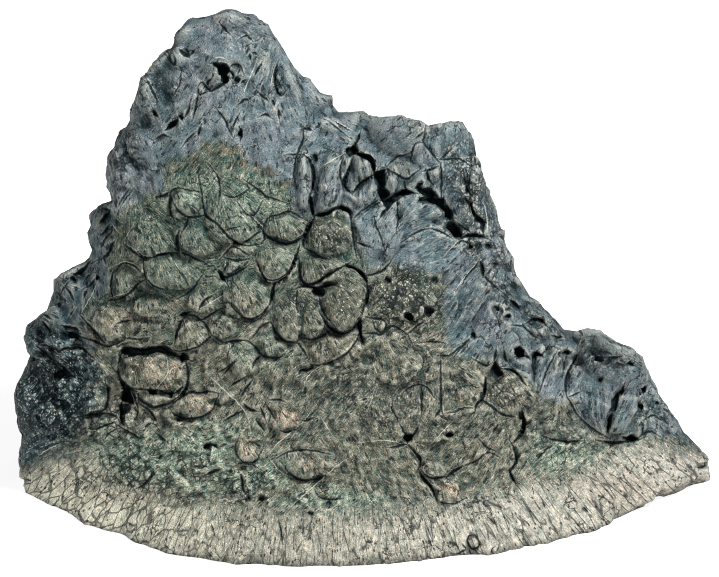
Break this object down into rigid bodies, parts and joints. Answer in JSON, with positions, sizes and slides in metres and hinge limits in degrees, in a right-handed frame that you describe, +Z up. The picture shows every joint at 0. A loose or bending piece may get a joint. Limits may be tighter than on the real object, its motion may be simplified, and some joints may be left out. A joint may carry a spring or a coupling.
{
  "type": "thulium metal specimen",
  "caption": "Mountain shaped lump of distilled thulium metal with pillow lobes, fibrous broken faces and a pale columnar skirt, standing on its flat underside.",
  "frame": {"origin": "middle of the box around the lump, on the surface that it stands on", "axes": "+X to the right along the skirt, +Y away from the lobed front, +Z up to the peak"},
  "size_m": [0.03, 0.016, 0.0221],
  "materials": {
    "thulium_metal": "rough"
  },
  "bodies": {
    "root": {"thulium_lump": "thulium_metal"}
  },
  "joints": []
}
